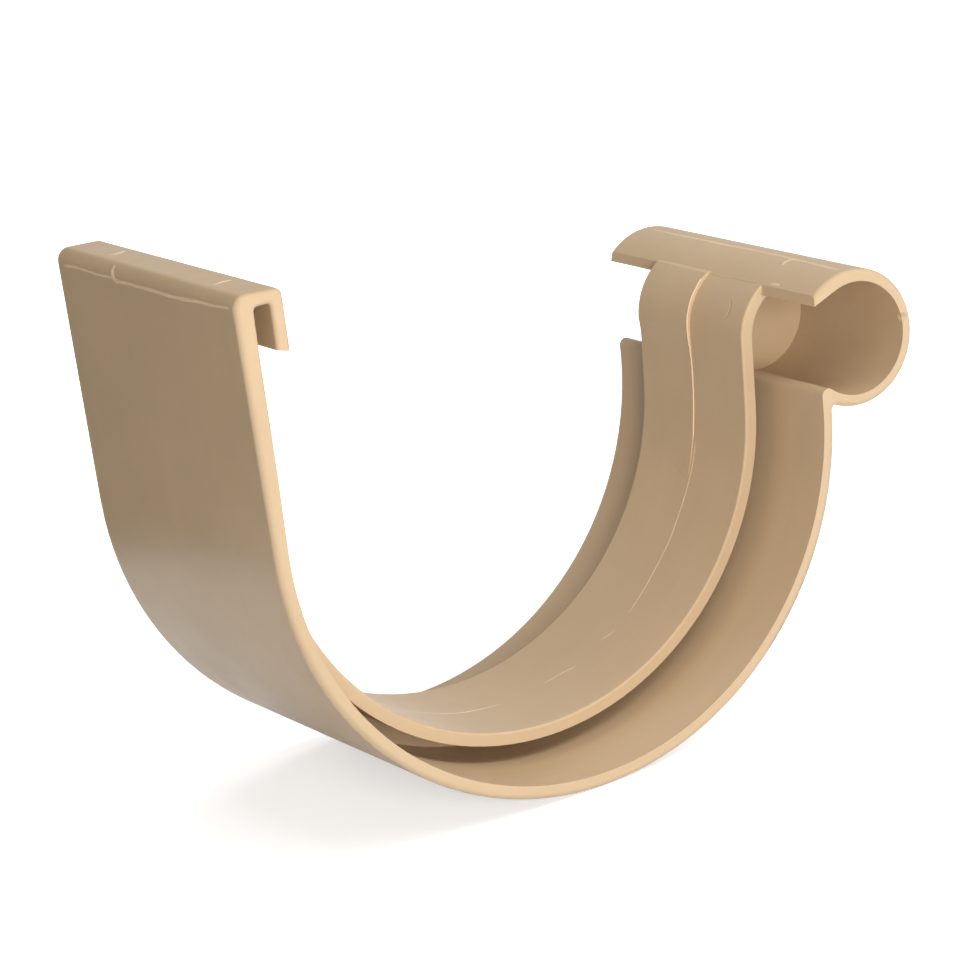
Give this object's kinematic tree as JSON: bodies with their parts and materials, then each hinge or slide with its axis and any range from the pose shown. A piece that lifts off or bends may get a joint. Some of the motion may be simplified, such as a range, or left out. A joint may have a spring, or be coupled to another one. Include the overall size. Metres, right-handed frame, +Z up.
{
  "type": "gutter union",
  "caption": "Moulded half-round gutter union with a hooked back edge, a tubular front bead and an inner band that grips the gutter wall against a central stop.",
  "frame": {"origin": "on the axis of the half-round gutter, half way along the union", "axes": "+X across the gutter from the fascia side to the bead, +Y along the gutter, +Z up"},
  "size_m": [0.153, 0.0738, 0.1184],
  "materials": {
    "pvc": "satin sand-coloured PVC"
  },
  "bodies": {
    "root": {"gutter_union": "pvc"}
  },
  "joints": []
}
